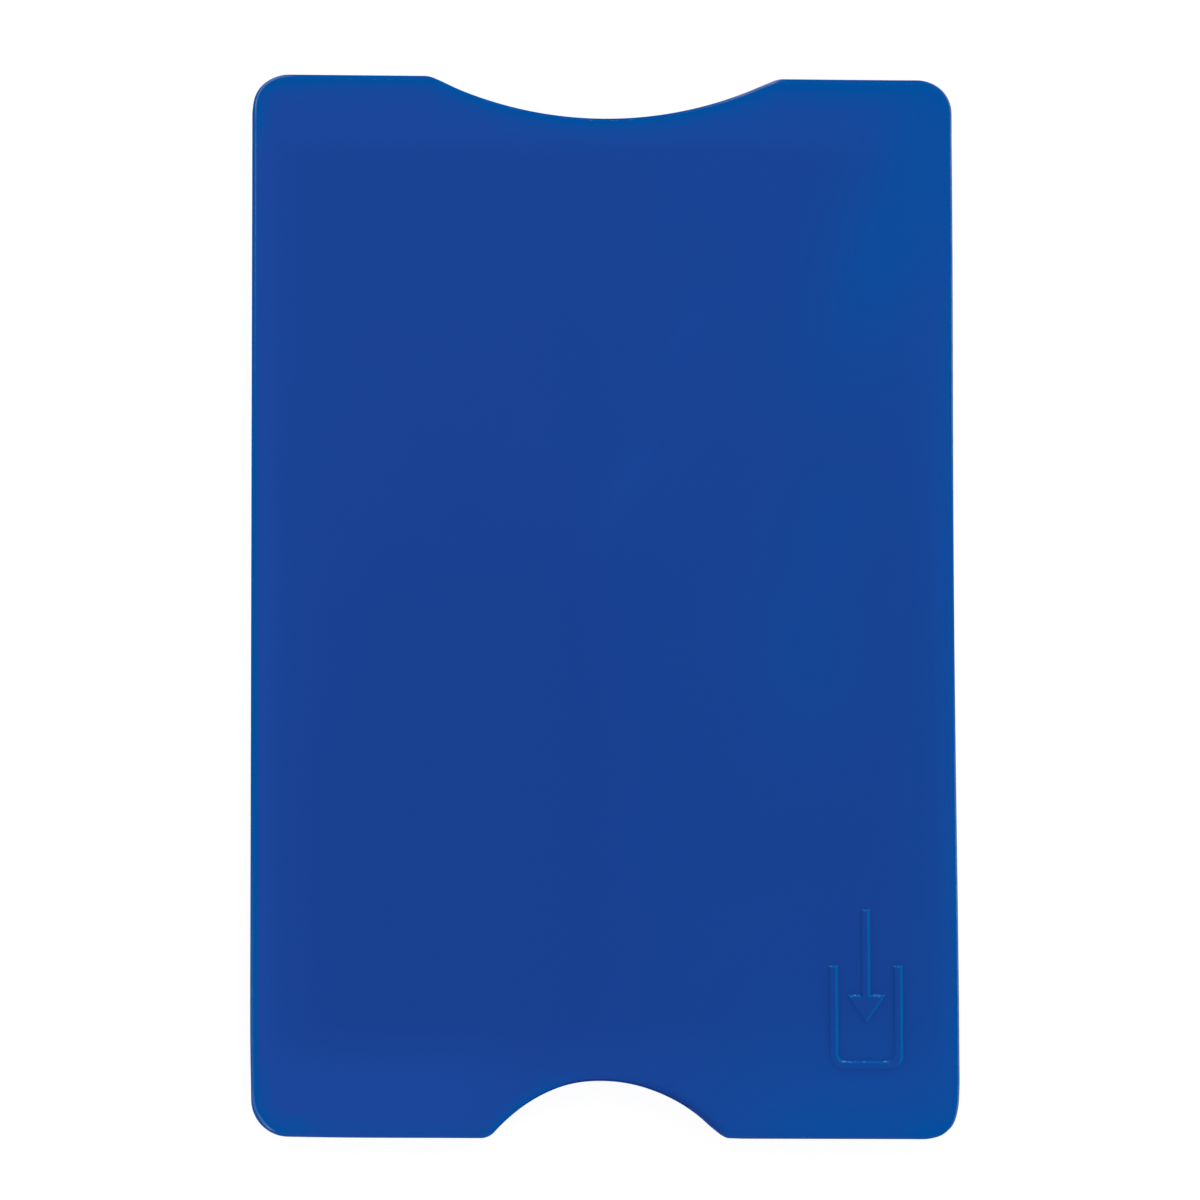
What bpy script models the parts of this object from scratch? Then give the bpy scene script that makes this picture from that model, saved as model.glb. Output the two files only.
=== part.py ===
"""A hard case for one bank card: a shallow tray and a flat cover, with a foil shield glued inside each.

The case lies on its back, with +Z out of the front, +Y towards the mouth and the origin under its middle.
"""

import math

import bmesh
import bpy

# The card that the case is built round
CARD_WIDTH = 0.05398
CARD_LENGTH = 0.08560
CARD_THICKNESS = 0.00076
EMBOSSING_HEIGHT = 0.00048

# Room for the card in its slot
CARD_SIDE_GAP = 0.00031
CARD_FACE_GAP = 0.00016
MOUTH_OVERHANG = 0.00270

# Walls
RAIL_WIDTH = 0.00270
END_STOP_LENGTH = 0.00270
FLOOR_THICKNESS = 0.00100
COVER_THICKNESS = 0.00100

# Outline
CORNER_RADIUS = 0.00310
MOUTH_NOTCH_HALF_CHORD = 0.01490
MOUTH_NOTCH_DEPTH = 0.00360
MOUTH_SHOULDER_RADIUS = 0.00200
THUMB_NOTCH_HALF_CHORD = 0.00980
THUMB_NOTCH_DEPTH = 0.00485
THUMB_SHOULDER_RADIUS = 0.00160

# Edges
EDGE_FILLET = 0.00055
NOTCH_FILLET = 0.00030
SEAM_CHAMFER = 0.00015
SEAM_GAP = 0.00005

# Locating pegs on the tray, and their sockets in the cover
PEG_RADIUS = 0.00060
PEG_HEIGHT = 0.00045
PEG_SIDE_CLEARANCE = 0.00005
PEG_END_CLEARANCE = 0.00010
SIDE_PEG_SPACING = 0.02800
END_PEG_HALF_SPACING = 0.01850

# Ribs on the tray's floor that hold the card by a light touch
GRIP_RIB_HALF_SPACING = 0.02150
GRIP_RIB_LENGTH = 0.00600
GRIP_RIB_WIDTH = 0.00120
GRIP_RIB_HEIGHT = 0.00035
GRIP_RIB_FROM_MOUTH = 0.00280

# Foil shields and the films that glue them, each in a pocket
FOIL_THICKNESS = 0.00010
FOIL_SIDE_MARGIN = 0.00070
FOIL_MOUTH_MARGIN = 0.00230
FOIL_THUMB_MARGIN = 0.00165
FOIL_CORNER_RADIUS = 0.00200
FOIL_SINK = 0.00001
FILM_THICKNESS = 0.00005
FILM_MARGIN = 0.00050
FILM_CLEARANCE = 0.00002
POCKET_SIDE_CLEARANCE = 0.00010

# Raised sign on the cover: an arrow that points into an open case
SIGN_HEIGHT = 0.00020
SIGN_STROKE = 0.00070
SIGN_CASE_WIDTH = 0.00620
SIGN_CASE_LENGTH = 0.00880
SIGN_CASE_CORNER = 0.00130
SIGN_ARROW_LENGTH = 0.00960
SIGN_ARROW_ENTRY = 0.00480
SIGN_HEAD_WIDTH = 0.00320
SIGN_HEAD_LENGTH = 0.00230
SIGN_FROM_SIDE = 0.00800
SIGN_FROM_END = 0.00560

# How far a cutter runs past what it cuts, and a raised shape into what carries it
OVERRUN = 0.00030

# Sizes worked out from those above
SLOT_WIDTH = CARD_WIDTH + 2 * CARD_SIDE_GAP
SLOT_HEIGHT = CARD_THICKNESS + EMBOSSING_HEIGHT + CARD_FACE_GAP
CASE_WIDTH = SLOT_WIDTH + 2 * RAIL_WIDTH
CASE_LENGTH = END_STOP_LENGTH + CARD_LENGTH + MOUTH_OVERHANG
TRAY_HEIGHT = FLOOR_THICKNESS + SLOT_HEIGHT
COVER_BOTTOM = TRAY_HEIGHT + SEAM_GAP
CASE_HEIGHT = COVER_BOTTOM + COVER_THICKNESS
SLOT_END = END_STOP_LENGTH - CASE_LENGTH / 2
MOUTH_NOTCH_FLOOR = CASE_LENGTH / 2 - MOUTH_NOTCH_DEPTH
THUMB_NOTCH_CROWN = THUMB_NOTCH_DEPTH - CASE_LENGTH / 2
FOIL_WIDTH = SLOT_WIDTH - 2 * FOIL_SIDE_MARGIN
FOIL_TOP = MOUTH_NOTCH_FLOOR - FOIL_MOUTH_MARGIN
FOIL_BOTTOM = THUMB_NOTCH_CROWN + FOIL_THUMB_MARGIN
POCKET_DEPTH = 2 * FILM_CLEARANCE + FILM_THICKNESS + FOIL_THICKNESS + FOIL_SINK

# Numbers of straight pieces in each round stretch
CORNER_STEPS = 8
SHOULDER_STEPS = 5
MOUTH_STEPS = 14
THUMB_STEPS = 12
FILLET_STEPS = 4
PEG_SIDES = 20
SMALL_CORNER_STEPS = 6
SMOOTH_ANGLE = math.radians(30)

BLUE = (0.0103, 0.0529, 0.2831, 1.0)
FOIL_GREY = (0.62, 0.63, 0.65, 1.0)
FILM_AMBER = (0.55, 0.50, 0.38, 1.0)


def clear_scene():
    for item in list(bpy.data.objects):
        bpy.data.objects.remove(item, do_unlink=True)


def make_material(name, colour, roughness, metallic):
    material = bpy.data.materials.new(name)
    material.use_nodes = True
    shader = material.node_tree.nodes["Principled BSDF"]
    shader.inputs["Base Color"].default_value = colour
    shader.inputs["Roughness"].default_value = roughness
    shader.inputs["Metallic"].default_value = metallic
    material.diffuse_color = colour
    return material


def blue_plastic():
    return make_material("blue_plastic", BLUE, 0.35, 0.0)


def bare_foil():
    return make_material("bare_foil", FOIL_GREY, 0.25, 1.0)


def adhesive_film():
    return make_material("adhesive_film", FILM_AMBER, 0.5, 0.0)


def arc(centre, radius, start, end, steps):
    """Points along an arc, both ends included, with its angles in radians."""
    points = []
    for step in range(steps + 1):
        angle = start + (end - start) * step / steps
        points.append((centre[0] + radius * math.cos(angle), centre[1] + radius * math.sin(angle)))
    return points


def half_notch(edge, half_chord, depth, shoulder, inset, notch_inset, steps):
    """The right half of a notch in a +Y edge, from its shoulder to its lowest point at x = 0.

    A circle through both ends of the chord cuts the notch. The shoulder is a smaller circle that touches
    the edge from inside and the notch from outside. The inset draws the edge in and widens the notch.
    """
    notch_radius = (half_chord**2 + depth**2) / (2 * depth)
    centre_y = edge + notch_radius - depth
    radius = notch_radius + notch_inset
    bend = shoulder - inset
    bend_y = edge - inset - bend
    bend_x = math.sqrt((radius + bend) ** 2 - (centre_y - bend_y) ** 2)
    towards = math.atan2(centre_y - bend_y, -bend_x)
    round_shoulder = arc((bend_x, bend_y), bend, math.pi / 2, towards, SHOULDER_STEPS)
    bowl = arc((0, centre_y), radius, towards - math.pi, -math.pi / 2, steps)
    return round_shoulder + bowl[1:]


def case_outline(inset, notch_inset):
    """The case's outline, anticlockwise, drawn in by inset along its edges and by notch_inset in its notches."""
    half_width = CASE_WIDTH / 2 - inset
    half_length = CASE_LENGTH / 2 - inset
    corner = CORNER_RADIUS - inset
    thumb = half_notch(
        CASE_LENGTH / 2,
        THUMB_NOTCH_HALF_CHORD,
        THUMB_NOTCH_DEPTH,
        THUMB_SHOULDER_RADIUS,
        inset,
        notch_inset,
        THUMB_STEPS,
    )
    mouth = half_notch(
        CASE_LENGTH / 2,
        MOUTH_NOTCH_HALF_CHORD,
        MOUTH_NOTCH_DEPTH,
        MOUTH_SHOULDER_RADIUS,
        inset,
        notch_inset,
        MOUTH_STEPS,
    )
    low_centre = (half_width - corner, corner - half_length)
    high_centre = (half_width - corner, half_length - corner)
    right = [(x, -y) for x, y in reversed(thumb)]
    right += arc(low_centre, corner, -math.pi / 2, 0, CORNER_STEPS)
    right += arc(high_centre, corner, 0, math.pi / 2, CORNER_STEPS)
    right += mouth
    left = [(-x, y) for x, y in reversed(right[1:-1])]
    return right + left


def rounded_rectangle(low, high, radius):
    """A rectangle with round corners, anticlockwise."""
    (x0, y0), (x1, y1) = low, high
    quarter = math.pi / 2
    centres = [
        (x1 - radius, y0 + radius),
        (x1 - radius, y1 - radius),
        (x0 + radius, y1 - radius),
        (x0 + radius, y0 + radius),
    ]
    points = []
    for turn, centre in enumerate(centres):
        points += arc(centre, radius, (turn - 1) * quarter, turn * quarter, SMALL_CORNER_STEPS)
    return points


def lofted_solid(name, rings):
    """A closed solid through rings of equally many points, each a height and an outline, lowest first."""
    shape = bmesh.new()
    loops = [[shape.verts.new((x, y, z)) for x, y in outline] for z, outline in rings]
    count = len(loops[0])
    for low, high in zip(loops, loops[1:]):
        for i in range(count):
            j = (i + 1) % count
            shape.faces.new((low[i], low[j], high[j], high[i]))
    shape.faces.new(list(reversed(loops[0])))
    shape.faces.new(loops[-1])
    mesh = bpy.data.meshes.new(name)
    shape.to_mesh(mesh)
    shape.free()
    piece = bpy.data.objects.new(name, mesh)
    bpy.context.scene.collection.objects.link(piece)
    return piece


def prism(name, outline, bottom, top):
    return lofted_solid(name, [(bottom, outline), (top, outline)])


def box(name, low, high):
    (x0, y0, z0), (x1, y1, z1) = low, high
    return prism(name, [(x0, y0), (x1, y0), (x1, y1), (x0, y1)], z0, z1)


def combine(piece, tool, operation):
    """Adds a live Boolean with a helper, which stays in the file as a wire and isn't rendered."""
    tool.hide_render = True
    tool.display_type = "WIRE"
    modifier = piece.modifiers.new(tool.name, "BOOLEAN")
    modifier.operation = operation
    modifier.solver = "EXACT"
    modifier.object = tool


def finish(piece, material):
    piece.data.materials.append(material)
    piece.data.shade_smooth()
    piece.data.set_sharp_from_angle(angle=SMOOTH_ANGLE)


def fillet_inset(drop, radius):
    """How far a rounded edge lies inside the outline at a drop below the face that it runs into."""
    if drop >= radius:
        return 0
    return radius - math.sqrt(radius**2 - (radius - drop) ** 2)


def fillet_rings(face, direction):
    """Rings of a rounded edge, from the face to the wall. The direction is the way from the face to the wall."""
    rings = []
    for step in range(FILLET_STEPS + 1):
        drop = EDGE_FILLET * (1 - math.cos(math.pi / 2 * step / FILLET_STEPS))
        outline = case_outline(fillet_inset(drop, EDGE_FILLET), fillet_inset(drop, NOTCH_FILLET))
        rings.append((face + direction * drop, outline))
    return rings


def seam_rings(edge, direction):
    """Rings of the chamfer along the seam, from the seam's face to the wall."""
    face = (edge, case_outline(SEAM_CHAMFER, SEAM_CHAMFER))
    wall = (edge + direction * SEAM_CHAMFER, case_outline(0, 0))
    return [face, wall]


def peg_places():
    """Middles of the pegs: three along each side rail, and one on each end stop."""
    rail = SLOT_WIDTH / 2 + RAIL_WIDTH / 2
    places = [(side * rail, step * SIDE_PEG_SPACING) for side in (-1, 1) for step in (-1, 0, 1)]
    stop = SLOT_END - END_STOP_LENGTH / 2
    places += [(side * END_PEG_HALF_SPACING, stop) for side in (-1, 1)]
    return places


def round_posts(name, radius, bottom, top):
    """A group of separate upright cylinders at the peg places, as one helper."""
    posts = bmesh.new()
    for x, y in peg_places():
        ring = arc((x, y), radius, 0, 2 * math.pi, PEG_SIDES)[:-1]
        low = [posts.verts.new((px, py, bottom)) for px, py in ring]
        high = [posts.verts.new((px, py, top)) for px, py in ring]
        for i in range(PEG_SIDES):
            j = (i + 1) % PEG_SIDES
            posts.faces.new((low[i], low[j], high[j], high[i]))
        posts.faces.new(list(reversed(low)))
        posts.faces.new(high)
    mesh = bpy.data.meshes.new(name)
    posts.to_mesh(mesh)
    posts.free()
    helper = bpy.data.objects.new(name, mesh)
    bpy.context.scene.collection.objects.link(helper)
    return helper


def foil_outline(margin):
    """The shield's outline, drawn in by a margin, or let out by a negative one."""
    half_width = FOIL_WIDTH / 2 - margin
    low = (-half_width, FOIL_BOTTOM + margin)
    high = (half_width, FOIL_TOP - margin)
    return rounded_rectangle(low, high, FOIL_CORNER_RADIUS - margin)


def grip_rib(name, middle_x):
    """A long low rib across the way of the card, with sloping sides."""
    middle_y = CASE_LENGTH / 2 - GRIP_RIB_FROM_MOUTH
    rings = []
    for height, width, length in (
        (-OVERRUN, GRIP_RIB_WIDTH, GRIP_RIB_LENGTH),
        (0, GRIP_RIB_WIDTH, GRIP_RIB_LENGTH),
        (GRIP_RIB_HEIGHT, GRIP_RIB_WIDTH - GRIP_RIB_HEIGHT, GRIP_RIB_LENGTH - GRIP_RIB_HEIGHT),
    ):
        low = (middle_x - length / 2, middle_y - width / 2)
        high = (middle_x + length / 2, middle_y + width / 2)
        rings.append((FLOOR_THICKNESS + height, rounded_rectangle(low, high, width / 3)))
    return lofted_solid(name, rings)


def make_tray(material):
    """The back of the case: floor, two side rails and the end stops on both sides of the thumb notch."""
    rings = fillet_rings(0, 1) + list(reversed(seam_rings(TRAY_HEIGHT, -1)))
    tray = lofted_solid("back_tray", rings)
    slot = box(
        "slot_cutter",
        (-SLOT_WIDTH / 2, SLOT_END, FLOOR_THICKNESS),
        (SLOT_WIDTH / 2, CASE_LENGTH / 2 + OVERRUN, TRAY_HEIGHT + OVERRUN),
    )
    combine(tray, slot, "DIFFERENCE")
    pocket = prism(
        "tray_pocket_cutter",
        foil_outline(-POCKET_SIDE_CLEARANCE),
        FLOOR_THICKNESS - POCKET_DEPTH,
        FLOOR_THICKNESS + OVERRUN,
    )
    combine(tray, pocket, "DIFFERENCE")
    pegs = round_posts("peg_shapes", PEG_RADIUS, TRAY_HEIGHT - OVERRUN, TRAY_HEIGHT + PEG_HEIGHT)
    combine(tray, pegs, "UNION")
    for side, label in ((-1, "left"), (1, "right")):
        combine(tray, grip_rib(f"{label}_grip_rib_shape", side * GRIP_RIB_HALF_SPACING), "UNION")
    finish(tray, material)
    return tray


def sign_case_outline(middle_x, bottom):
    """An open-topped case drawn as one stroke: down the left, round the bottom and up the right."""
    outer = SIGN_CASE_WIDTH / 2
    inner = outer - SIGN_STROKE
    top = bottom + SIGN_CASE_LENGTH
    inner_corner = SIGN_CASE_CORNER - SIGN_STROKE
    corner_y = bottom + SIGN_CASE_CORNER
    left_x = middle_x - outer + SIGN_CASE_CORNER
    right_x = middle_x + outer - SIGN_CASE_CORNER
    points = [(middle_x - outer, top)]
    points += arc((left_x, corner_y), SIGN_CASE_CORNER, math.pi, 1.5 * math.pi, SMALL_CORNER_STEPS)
    points += arc((right_x, corner_y), SIGN_CASE_CORNER, -math.pi / 2, 0, SMALL_CORNER_STEPS)
    points += [(middle_x + outer, top), (middle_x + inner, top)]
    points += arc((right_x, corner_y), inner_corner, 0, -math.pi / 2, SMALL_CORNER_STEPS)
    points += arc((left_x, corner_y), inner_corner, 1.5 * math.pi, math.pi, SMALL_CORNER_STEPS)
    points += [(middle_x - inner, top)]
    return points


def sign_arrow_outline(middle_x, tip):
    """An arrow that points down, with its tip inside the open case."""
    half_stroke = SIGN_STROKE / 2
    half_head = SIGN_HEAD_WIDTH / 2
    barb = tip + SIGN_HEAD_LENGTH
    return [
        (middle_x, tip),
        (middle_x + half_head, barb),
        (middle_x + half_stroke, barb),
        (middle_x + half_stroke, tip + SIGN_ARROW_LENGTH),
        (middle_x - half_stroke, tip + SIGN_ARROW_LENGTH),
        (middle_x - half_stroke, barb),
        (middle_x - half_head, barb),
    ]


def add_sign(cover):
    middle_x = CASE_WIDTH / 2 - SIGN_FROM_SIDE
    bottom = SIGN_FROM_END - CASE_LENGTH / 2
    tip = bottom + SIGN_CASE_LENGTH - SIGN_ARROW_ENTRY
    low = CASE_HEIGHT - OVERRUN
    high = CASE_HEIGHT + SIGN_HEIGHT
    combine(cover, prism("sign_case_shape", sign_case_outline(middle_x, bottom), low, high), "UNION")
    combine(cover, prism("sign_arrow_shape", sign_arrow_outline(middle_x, tip), low, high), "UNION")


def make_cover(material):
    """The front of the case: a flat plate with sockets for the pegs and a pocket for the shield."""
    rings = seam_rings(COVER_BOTTOM, 1) + list(reversed(fillet_rings(CASE_HEIGHT, -1)))
    cover = lofted_solid("front_cover", rings)
    pocket = prism(
        "cover_pocket_cutter",
        foil_outline(-POCKET_SIDE_CLEARANCE),
        COVER_BOTTOM - OVERRUN,
        COVER_BOTTOM + POCKET_DEPTH,
    )
    combine(cover, pocket, "DIFFERENCE")
    sockets = round_posts(
        "socket_cutter",
        PEG_RADIUS + PEG_SIDE_CLEARANCE,
        COVER_BOTTOM - OVERRUN,
        TRAY_HEIGHT + PEG_HEIGHT + PEG_END_CLEARANCE,
    )
    combine(cover, sockets, "DIFFERENCE")
    add_sign(cover)
    finish(cover, material)
    return cover


def make_film(name, bottom, material):
    film = prism(name, foil_outline(FILM_MARGIN), bottom, bottom + FILM_THICKNESS)
    finish(film, material)
    return film


def make_foil(name, bottom, material):
    foil = prism(name, foil_outline(0), bottom, bottom + FOIL_THICKNESS)
    finish(foil, material)
    return foil


def make_shields(foil_material, film_material):
    """In each pocket the film lies against the plastic, and the foil lies on the film."""
    back_film = FLOOR_THICKNESS - POCKET_DEPTH + FILM_CLEARANCE
    back_foil = back_film + FILM_THICKNESS + FILM_CLEARANCE
    front_film = COVER_BOTTOM + POCKET_DEPTH - FILM_CLEARANCE - FILM_THICKNESS
    front_foil = front_film - FILM_CLEARANCE - FOIL_THICKNESS
    make_film("back_adhesive_film", back_film, film_material)
    make_foil("back_foil_shield", back_foil, foil_material)
    make_film("front_adhesive_film", front_film, film_material)
    make_foil("front_foil_shield", front_foil, foil_material)


def main():
    clear_scene()
    plastic = blue_plastic()
    make_tray(plastic)
    make_cover(plastic)
    make_shields(bare_foil(), adhesive_film())


main()
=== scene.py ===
import math

import bpy
import numpy as np
from mathutils import Matrix, Vector


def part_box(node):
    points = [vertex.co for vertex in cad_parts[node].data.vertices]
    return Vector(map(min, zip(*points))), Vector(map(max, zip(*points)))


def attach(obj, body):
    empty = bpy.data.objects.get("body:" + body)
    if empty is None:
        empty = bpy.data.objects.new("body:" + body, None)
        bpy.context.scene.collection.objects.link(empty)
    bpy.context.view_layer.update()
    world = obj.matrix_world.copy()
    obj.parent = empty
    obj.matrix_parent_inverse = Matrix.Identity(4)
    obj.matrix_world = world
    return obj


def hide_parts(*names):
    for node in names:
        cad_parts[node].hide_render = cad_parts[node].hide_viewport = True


# The look of a hard card case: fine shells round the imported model, on a white table in a soft studio.
# Lengths are in metres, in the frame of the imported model: +Z out of the front, +Y towards the mouth.

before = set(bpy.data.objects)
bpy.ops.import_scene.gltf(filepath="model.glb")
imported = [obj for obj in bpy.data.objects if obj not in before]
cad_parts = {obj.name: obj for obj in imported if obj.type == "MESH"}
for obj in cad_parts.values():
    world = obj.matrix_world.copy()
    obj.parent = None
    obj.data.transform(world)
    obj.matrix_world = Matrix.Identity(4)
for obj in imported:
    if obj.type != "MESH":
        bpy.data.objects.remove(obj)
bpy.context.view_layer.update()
coverLow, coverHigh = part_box("front_cover")
trayLow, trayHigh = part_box("back_tray")
foilLow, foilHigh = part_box("front_foil_shield")
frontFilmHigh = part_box("front_adhesive_film")[1]
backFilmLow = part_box("back_adhesive_film")[0]
print("frame loaded")


# Shape of the shells as seen from the front

outline = dict(
    width=coverHigh.x - coverLow.x,
    length=coverHigh.y - coverLow.y,
    cornerRadius=0.00310,
    edgeFillet=0.00055,
    notchFillet=0.00030,
    seamChamfer=0.00015,
)
moulding = dict(
    sideBow=0.000131,  # how far the right side draws in at mid-length
    bowHalfLength=0.0355,
    bowFrom=0.0268,
    bowFull=0.0292,
    pulls=(  # where a corner or notch is off: its place, its reach, and how far it moved right and up
        (-0.0294, 0.0441, 0.00122, -0.000053, 0.000037),
        (0.0292, 0.0445, 0.00205, 0.000091, 0.000081),
        (-0.0293, -0.0444, 0.00522, 0.000123, 0.000097),
        (0.0288, -0.0445, 0.00128, 0.000137, -0.000165),
        (0.0299, -0.0431, 0.00127, -0.000094, 0.000022),
        (0.0097, -0.0451, 0.00078, 0.000104, 0.000144),
        (-0.0028, -0.0410, 0.00258, -0.000020, 0.000086),
        (0.0046, -0.0416, 0.00262, -0.000019, -0.000047),
        (-0.0083, -0.0439, 0.00261, 0.000046, -0.000051),
        (-0.0137, 0.0449, 0.00090, 0, 0.000050),
        (0.0150, 0.0454, 0.00090, 0.000160, 0),
        (0.0084, -0.0441, 0.00110, 0, 0.000035),
    ),
)
mouthNotch = dict(halfChord=0.01490, depth=0.00360, shoulderRadius=0.00200)
thumbNotch = dict(halfChord=0.00980, depth=0.00485, shoulderRadius=0.00160)
steps = dict(  # straight pieces in each stretch of the outline, and in each small round shape
    corner=7,
    straight=13,
    shoulder=7,
    bowl=24,
    long=116,
    fillet=9,
    signCorner=8,
    ribEnd=8,
    ribBack=6,
)


def bowlCircle(notch):
    # centre height and radius of the circle through both ends of the notch's chord and its lowest point
    radius = (notch["halfChord"] ** 2 + notch["depth"] ** 2) / (2 * notch["depth"])
    return outline["length"] / 2 + radius - notch["depth"], radius


def arcPoints(centre, radius, start, end, count):
    # points at equal angles on a circle, both ends in
    angle = np.linspace(start, end, count + 1)
    return np.stack([centre[0] + radius * np.cos(angle), centre[1] + radius * np.sin(angle)], axis=1)


def linePoints(start, end, count):
    # points at equal steps on a straight line, both ends in
    return np.linspace(start, end, count + 1)


def notchedEnd(notch, inset, notchInset):
    # the +Y end from right to left: half a corner, straight, round shoulder, bowl, and the same mirrored
    edge = outline["length"] / 2 - inset
    corner = outline["cornerRadius"] - inset
    bowlY, bowlRadius = bowlCircle(notch)
    bend = notch["shoulderRadius"] - inset
    bendY = edge - bend
    bendX = math.sqrt((bowlRadius + notchInset + bend) ** 2 - (bowlY - bendY) ** 2)
    turn = math.atan2(bowlY - bendY, -bendX)
    cornerX = outline["width"] / 2 - inset - corner
    cornerArc = arcPoints((cornerX, edge - corner), corner, math.pi / 4, math.pi / 2, steps["corner"])
    straight = linePoints((cornerX, edge), (bendX, edge), steps["straight"])
    shoulder = arcPoints((bendX, bendY), bend, math.pi / 2, turn, steps["shoulder"])
    bowl = arcPoints((0, bowlY), bowlRadius + notchInset, turn - math.pi, -math.pi / 2, steps["bowl"])
    half = np.concatenate([cornerArc, straight[1:], shoulder[1:], bowl[1:]])
    return np.concatenate([half, half[-2::-1] * (-1, 1)])


def longSide(halfWidth, low, high, corner):
    # the +X side from bottom to top: half a corner, straight, half a corner
    x = halfWidth - corner
    lowerArc = arcPoints((x, low + corner), corner, -math.pi / 4, 0, steps["corner"])
    straight = linePoints((halfWidth, low + corner), (halfWidth, high - corner), steps["long"])
    upperArc = arcPoints((x, high - corner), corner, 0, math.pi / 4, steps["corner"])
    return np.concatenate([lowerArc, straight[1:], upperArc[1:]])


def caseLoop(inset, notchInset):
    # the case's outline, anticlockwise from the middle of the lower left corner, drawn in by the insets
    bottom = notchedEnd(thumbNotch, inset, notchInset)[::-1] * (1, -1)
    halfLength = outline["length"] / 2 - inset
    right = longSide(outline["width"] / 2 - inset, -halfLength, halfLength, outline["cornerRadius"] - inset)
    top = notchedEnd(mouthNotch, inset, notchInset)
    left = right * -1
    return np.concatenate([bottom[:-1], right[:-1], top[:-1], left[:-1]])


def pocketLoop(halfWidth, low, high, corner):
    # a rectangle with round corners, with as many points on each side as the case's outline
    count = 2 * (steps["straight"] + steps["shoulder"] + steps["bowl"])
    right = longSide(halfWidth, low, high, corner)
    left = right[::-1] * (-1, 1)
    x, y = halfWidth - corner, high - corner
    firstArc = arcPoints((x, y), corner, math.pi / 4, math.pi / 2, steps["corner"])
    lastArc = arcPoints((-x, y), corner, math.pi / 2, 3 * math.pi / 4, steps["corner"])
    top = np.concatenate([firstArc, linePoints((x, high), (-x, high), count)[1:], lastArc[1:]])
    bottom = (top - (0, high)) * -1 + (0, low)
    return np.concatenate([bottom[:-1], right[:-1], top[:-1], left[:-1]])


def lift(loop, z):
    # a flat loop at a height
    return np.column_stack([loop, np.full(len(loop), z)])


def filletProfile(radius):
    # inset and drop along a quarter circle, from the wall to the face, by equal angles
    angle = np.linspace(0, math.pi / 2, steps["fillet"] + 1)
    return radius * (1 - np.cos(angle)), radius * (1 - np.sin(angle))


def filletRings(face, direction):
    # rings of the rounded edge from the wall to the face, with a narrow flat ring that keeps the face level
    insets, drops = filletProfile(outline["edgeFillet"])
    notchInsets, _ = filletProfile(outline["notchFillet"])
    rings = [
        lift(caseLoop(inset, notchInset), face + direction * drop)
        for inset, notchInset, drop in zip(insets, notchInsets, drops)
    ]
    flat = outline["seamChamfer"] / 2
    rings.append(lift(caseLoop(outline["edgeFillet"] + flat, outline["notchFillet"] + flat), face))
    return rings


def smoothStep(share):
    # eases a share between nought and one: s^2 (3 - 2 s)
    share = np.clip(share, 0, 1)
    return share * share * (3 - 2 * share)


def moulded(points, values):
    # how cooling moved the drawn shape: a bow (1 - (y/h)^2)^2 on the right, and bells exp(-(d/reach)^2)
    drawnX, drawnY, z = points.T
    side = smoothStep((drawnX - values["bowFrom"]) / (values["bowFull"] - values["bowFrom"]))
    bow = values["sideBow"] * np.clip(1 - (drawnY / values["bowHalfLength"]) ** 2, 0, 1) ** 2
    x = drawnX - bow * side
    y = drawnY
    for centreX, centreY, reach, right, up in values["pulls"]:
        share = np.exp(-((drawnX - centreX) ** 2 + (drawnY - centreY) ** 2) / reach**2)
        x, y = x + right * share, y + up * share
    halfWidth, halfLength = outline["width"] / 2, outline["length"] / 2
    return np.stack([np.clip(x, -halfWidth, halfWidth), np.clip(y, -halfLength, halfLength), z], axis=1)


# Meshes from whole arrays of points and faces


def loftFaces(rings, count):
    # four-sided faces between rings that follow each other, facing out if the rings run anticlockwise
    first = np.arange(rings - 1)[:, None] * count
    here = (first + np.arange(count)).ravel()
    beside = (first + (np.arange(count) + 1) % count).ravel()
    return np.stack([here, beside, beside + count, here + count], axis=1)


def closedLoft(rings):
    # a closed body through rings, with a flat face over the first and the last one
    points = np.concatenate(rings)
    count = len(rings[0])
    last = len(points) - count
    caps = [np.arange(count)[::-1][None], last + np.arange(count)[None]]
    return points, [loftFaces(len(rings), count)] + caps


def joined(parts):
    # several bodies as one list of points and one list of faces
    points, faces, first = [], [], 0
    for partPoints, partFaces in parts:
        points.append(partPoints)
        faces += [block + first for block in partFaces]
        first += len(partPoints)
    return np.concatenate(points), faces


def mirrored(part):
    # the same body on the other side of x = 0, with its faces turned so that they still face out
    points, faces = part
    return points * (-1, 1, 1), [block[:, ::-1] for block in faces]


def makePiece(name, part, material, sharpDegrees=30):
    # an object from points and faces, moulded, smooth but for its sharp edges, on the one body
    points, faces = part
    used, where = np.unique(np.concatenate([block.ravel() for block in faces]), return_inverse=True)
    mesh = bpy.data.meshes.new(name)
    sizes = np.concatenate([np.full(len(block), block.shape[1]) for block in faces])
    mesh.vertices.add(len(used))
    mesh.vertices.foreach_set("co", moulded(points[used], moulding).astype(np.float32).ravel())
    drawn = mesh.attributes.new("drawn", "FLOAT_VECTOR", "POINT")
    drawn.data.foreach_set("vector", points[used].astype(np.float32).ravel())
    mesh.loops.add(len(where))
    mesh.loops.foreach_set("vertex_index", where.ravel().astype(np.int32))
    mesh.polygons.add(len(sizes))
    mesh.polygons.foreach_set("loop_start", (np.cumsum(sizes) - sizes).astype(np.int32))
    mesh.update(calc_edges=True)
    mesh.validate()
    mesh.shade_smooth()
    mesh.set_sharp_from_angle(angle=math.radians(sharpDegrees))
    mesh.materials.append(material)
    piece = bpy.data.objects.new(name, mesh)
    bpy.context.scene.collection.objects.link(piece)
    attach(piece, "root")
    return piece


# Shader maths: a Wire is a socket that takes part in sums, and a Board holds one node tree


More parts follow.
